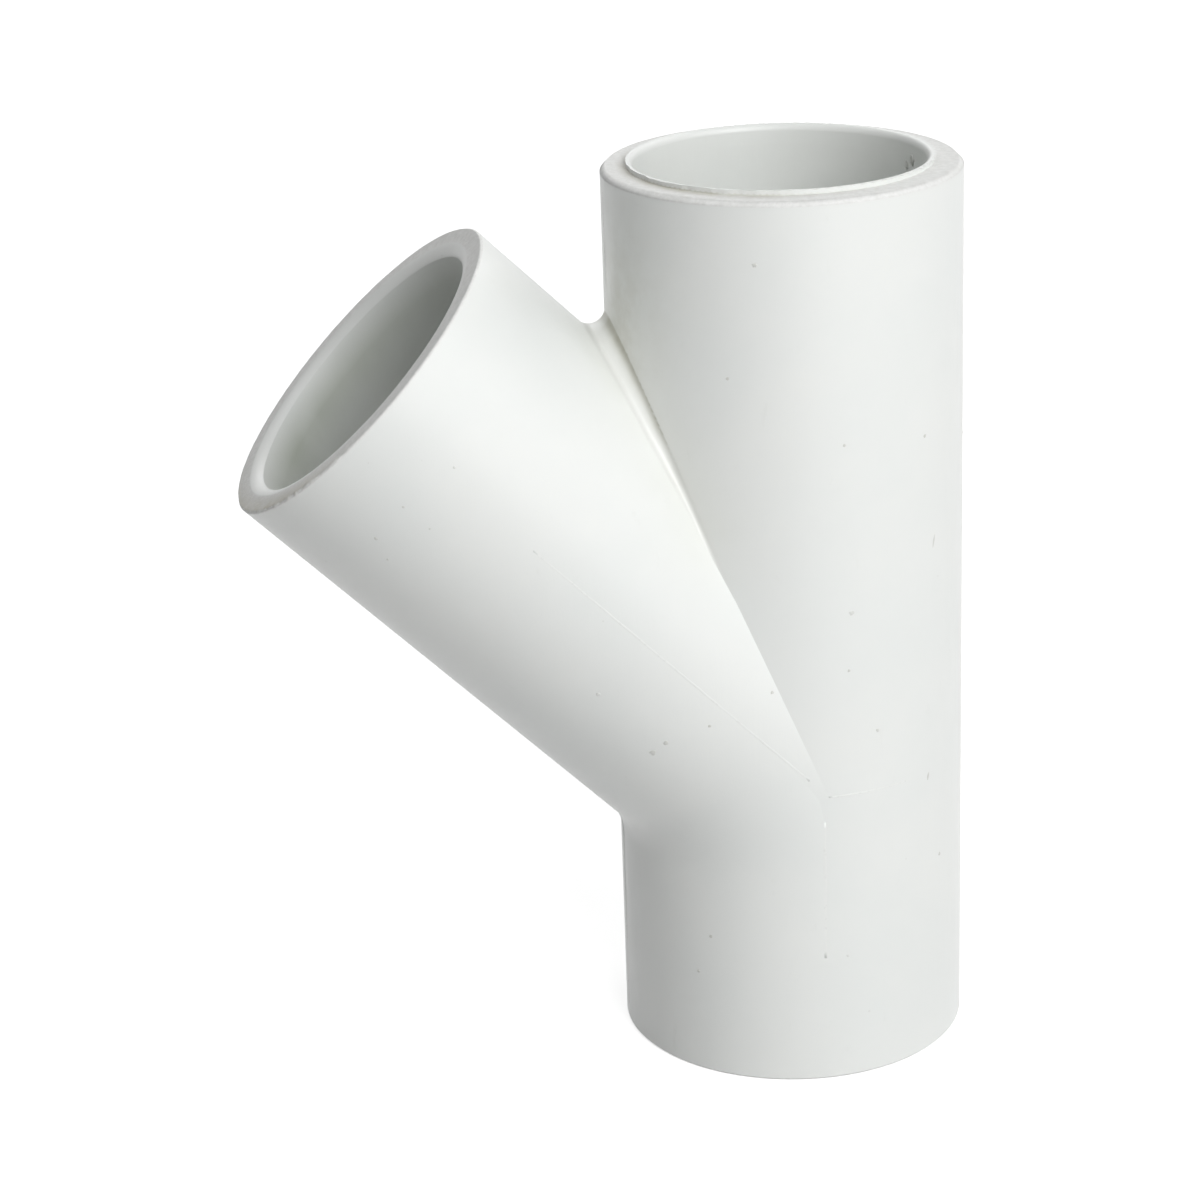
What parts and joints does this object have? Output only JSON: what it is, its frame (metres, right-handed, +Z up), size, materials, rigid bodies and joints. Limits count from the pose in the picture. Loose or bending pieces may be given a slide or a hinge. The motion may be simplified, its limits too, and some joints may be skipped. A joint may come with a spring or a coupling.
{
  "type": "lateral wye fitting",
  "caption": "One-piece white plastic pipe fitting: a straight run with an equal branch leaving it at forty-five degrees, each end an open socket for a glued pipe.",
  "frame": {"origin": "centre of the lower end face of the run", "axes": "+Z up the run's axis to its upper mouth; the branch axis lies in the XZ plane and leans to -X, at 45 degrees to +Z; Y is square to both axes"},
  "size_m": [0.0849, 0.0414, 0.1076],
  "materials": {
    "pvc": "moulded off-white PVC, half gloss, with scuffs and small dark specks"
  },
  "bodies": {
    "root": {"wye_body": "pvc"}
  },
  "joints": []
}
